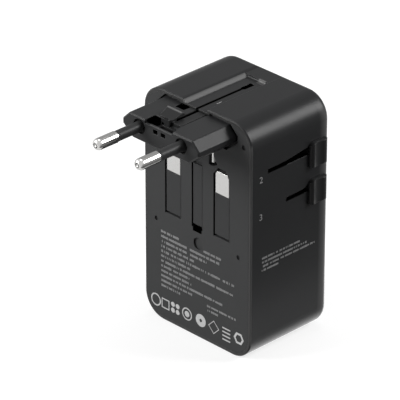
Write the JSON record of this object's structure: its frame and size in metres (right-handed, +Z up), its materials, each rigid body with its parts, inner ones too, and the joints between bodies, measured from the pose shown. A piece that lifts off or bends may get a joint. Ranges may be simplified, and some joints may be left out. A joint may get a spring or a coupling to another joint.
{
  "type": "universal travel adapter",
  "caption": "Pocket mains adapter with a slide-out European plug, slide-out twisting flat blades, fold-out UK pins driven by racks and gears, and a universal socket behind.",
  "frame": {"origin": "centre of the base, the flat lower face of the casing", "axes": "+Z up towards the European plug, -Y the way the plug pins point, +Y towards the socket side"},
  "size_m": [0.0509, 0.0709, 0.0845],
  "materials": {
    "casing_plastic": "fine moulded texture, dark grey",
    "face_plastic": "fine matt, dark grey",
    "plug_plastic": "satin dark grey",
    "knob_plastic": "satin dark grey",
    "sleeve_plastic": "satin dark grey insulation",
    "gear_plastic": "natural acetal",
    "slide_plastic": "black acetal",
    "shutter_plastic": "white plastic",
    "nickel_plate": "nickel-plated brass pins",
    "spring_brass": "bare contact strip",
    "steel": "turned shaft",
    "port_steel": "drawn port shell",
    "board_laminate": "solder-masked board",
    "core_tape": "taped winding and core",
    "can_aluminium": "sleeved can",
    "fuse_ceramic": "ceramic tube with caps",
    "clear_plastic": "clear light pipe"
  },
  "bodies": {
    "casing": {"main_shell": "casing_plastic", "plug_face_plate": "face_plastic", "socket_face_plate": "face_plastic", "live_contact": "spring_brass", "neutral_contact": "spring_brass", "earth_contact": "spring_brass", "circuit_board": "board_laminate", "transformer": "core_tape", "capacitors": "can_aluminium", "usb_a_ports": "port_steel", "usb_c_ports": "port_steel", "fuse_link": "fuse_ceramic", "fuse_cap": "face_plastic", "light_pipe": "clear_plastic", "line_idler_shaft": "steel", "earth_idler_shaft": "steel"},
    "shutter": {"safety_shutter": "shutter_plastic"},
    "eu_plug": {"eu_plug_block": "plug_plastic", "eu_pins": "nickel_plate", "eu_pin_sleeves": "sleeve_plastic", "eu_slider_knob": "knob_plastic", "eu_latch_strip": "knob_plastic"},
    "us_slider": {"us_carriage": "slide_plastic", "us_slider_knob": "knob_plastic"},
    "left_blade_set": {"left_blade": "nickel_plate", "left_blade_hub": "sleeve_plastic"},
    "right_blade_set": {"right_blade": "nickel_plate", "right_blade_hub": "sleeve_plastic"},
    "uk_slider": {"uk_carriage": "slide_plastic", "line_racks": "gear_plastic", "earth_rack": "gear_plastic", "uk_slider_knob": "knob_plastic"},
    "line_idlers": {"line_idler_gears": "gear_plastic"},
    "earth_idler": {"earth_idler_gear": "gear_plastic"},
    "line_pin_pair": {"line_pin_rockers": "sleeve_plastic", "line_pins": "nickel_plate"},
    "earth_pin_arm": {"earth_pin": "sleeve_plastic"}
  },
  "joints": [
    {"name": "shutter_slide", "type": "slide", "parent": "casing", "child": "shutter", "axis": [0, 0, -1], "range_m": [0, 0.0087], "stiffness_N_per_m": 20, "springref_m": -0.004},
    {"name": "eu_plug_slide", "type": "slide", "parent": "casing", "child": "eu_plug", "axis": [0, 1, 0], "range_m": [0, 0.0334]},
    {"name": "us_plug_slide", "type": "slide", "parent": "casing", "child": "us_slider", "axis": [0, -1, 0], "range_m": [0, 0.0175]},
    {"name": "left_blade_twist", "type": "hinge", "parent": "us_slider", "child": "left_blade_set", "pos_m": [-0.00635, 0.00635, 0.069], "axis": [0, 1, 0], "range_deg": [0, 30]},
    {"name": "right_blade_twist", "type": "hinge", "parent": "us_slider", "child": "right_blade_set", "pos_m": [0.00635, 0.00635, 0.069], "axis": [0, 1, 0], "range_deg": [-30, 0]},
    {"name": "uk_plug_slide", "type": "slide", "parent": "casing", "child": "uk_slider", "axis": [0, -1, 0], "range_m": [0, 0.00825]},
    {"name": "line_idler_turn", "type": "hinge", "parent": "casing", "child": "line_idlers", "pos_m": [0, -0.00644, 0.0452], "axis": [1, 0, 0], "range_deg": [-123, 0]},
    {"name": "earth_idler_turn", "type": "hinge", "parent": "casing", "child": "earth_idler", "pos_m": [0, -0.00444, 0.0674], "axis": [1, 0, 0], "range_deg": [0, 123]},
    {"name": "line_pins_fold", "type": "hinge", "parent": "casing", "child": "line_pin_pair", "pos_m": [0, -0.0156, 0.0452], "axis": [1, 0, 0], "range_deg": [0, 90.1]},
    {"name": "earth_pin_fold", "type": "hinge", "parent": "casing", "child": "earth_pin_arm", "pos_m": [0, -0.0136, 0.0674], "axis": [1, 0, 0], "range_deg": [-90.1, 0]}
  ],
  "couplings": [
    {"joint": "line_idler_turn", "follows": "uk_plug_slide", "rad_per_m": -259.74},
    {"joint": "line_pins_fold", "follows": "uk_plug_slide", "rad_per_m": 190.48},
    {"joint": "earth_idler_turn", "follows": "uk_plug_slide", "rad_per_m": 259.74},
    {"joint": "earth_pin_fold", "follows": "uk_plug_slide", "rad_per_m": -190.48}
  ]
}
